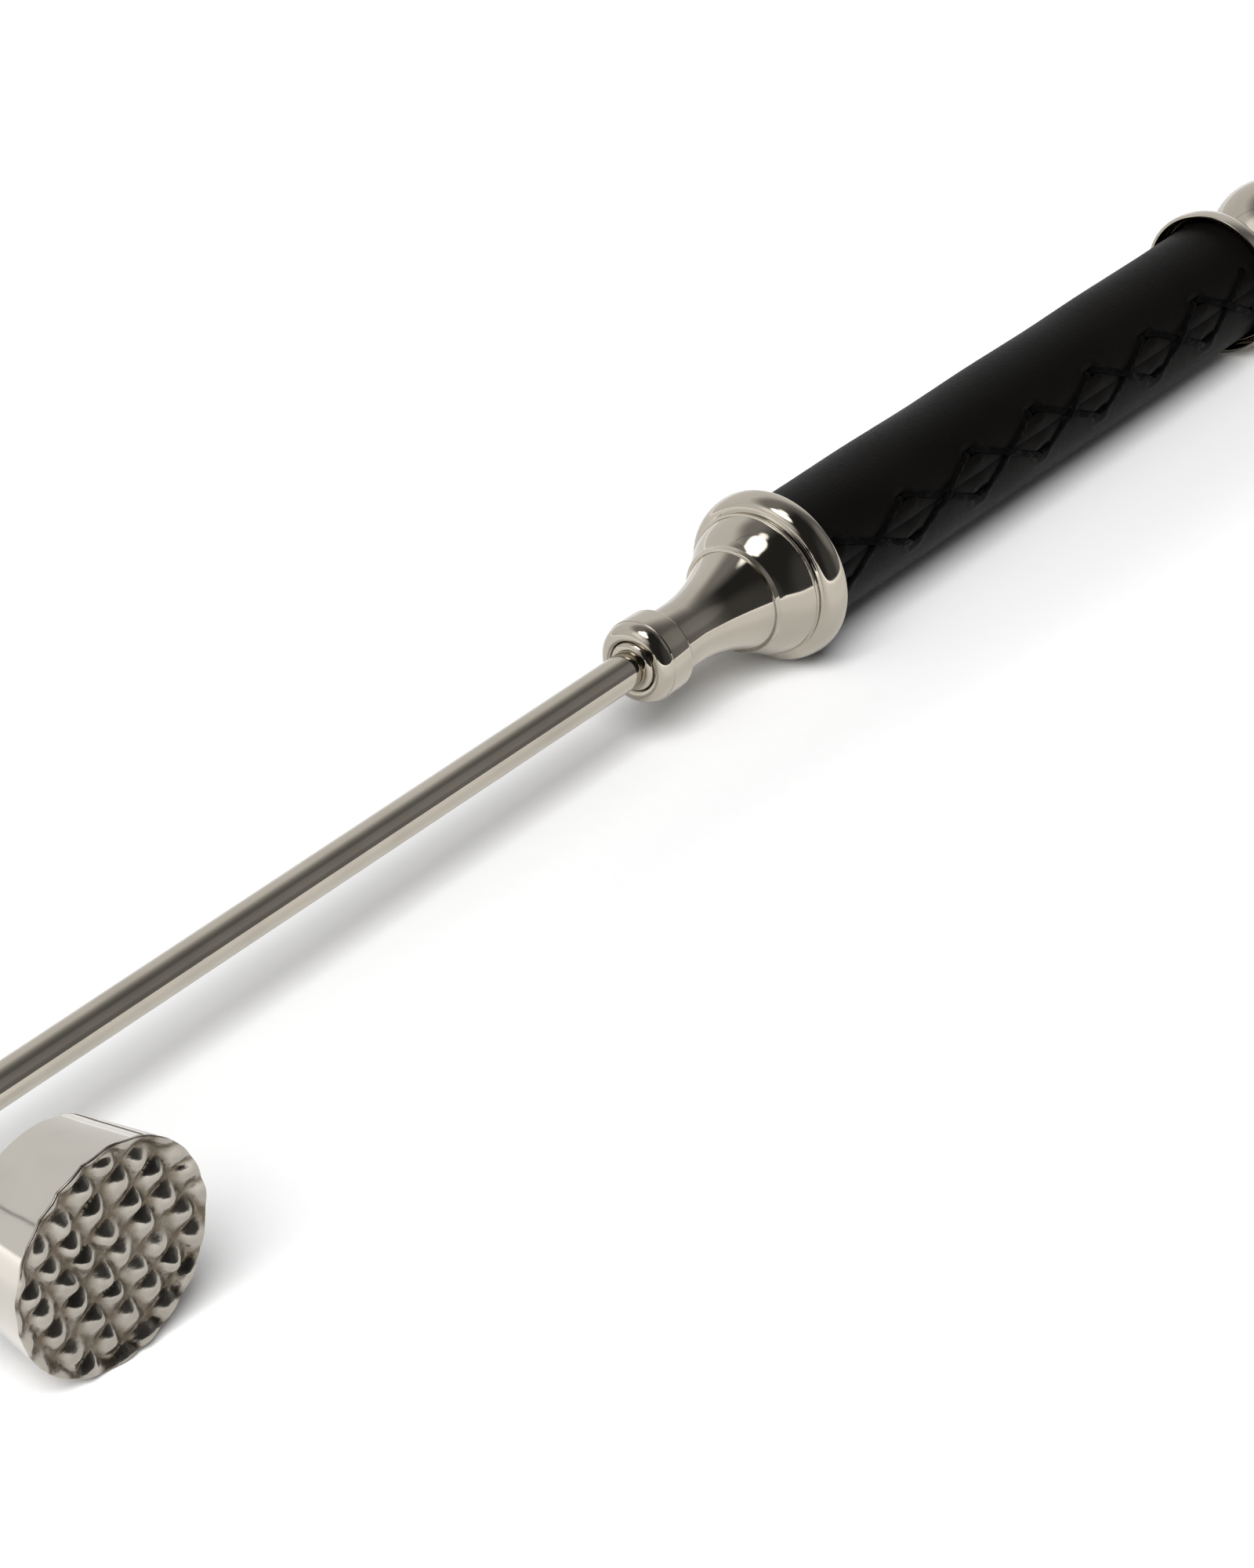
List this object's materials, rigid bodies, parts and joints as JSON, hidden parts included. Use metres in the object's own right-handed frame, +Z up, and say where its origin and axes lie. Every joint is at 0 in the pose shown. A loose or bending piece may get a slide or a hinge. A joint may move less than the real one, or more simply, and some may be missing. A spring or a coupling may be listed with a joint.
{
  "type": "muddler",
  "caption": "Bar muddler with a bumped metal crushing head set square on a bent round rod, a bell ferrule, a laced black leather grip and a ball finial.",
  "frame": {"origin": "under the middle of the bounding box, on the table that the tool lies on", "axes": "+X along the handle from the head to the ball, -Y the way the face of the head looks, +Z up from the table"},
  "size_m": [0.3182, 0.047, 0.0299],
  "materials": {
    "head_nickel": "polished nickel",
    "rod_nickel": "polished nickel",
    "ferrule_nickel": "polished nickel",
    "finial_nickel": "polished nickel",
    "black_leather": "smooth satin",
    "waxed_thread": "waxed",
    "beech": "turned, unfinished",
    "steel_stud": "plain steel",
    "fibre": "pressed fibre"
  },
  "bodies": {
    "root": {"crushing_head": "head_nickel", "rod": "rod_nickel", "rod_bead": "ferrule_nickel", "collar": "ferrule_nickel", "bell_ferrule": "ferrule_nickel", "ferrule_rim": "ferrule_nickel", "leather_sleeve": "black_leather", "lace_over": "waxed_thread", "lace_under": "waxed_thread", "handle_core": "beech", "tie_stud": "steel_stud", "cap_washer": "fibre", "end_cap": "finial_nickel", "finial_ring": "finial_nickel", "finial_ball": "finial_nickel"}
  },
  "joints": []
}
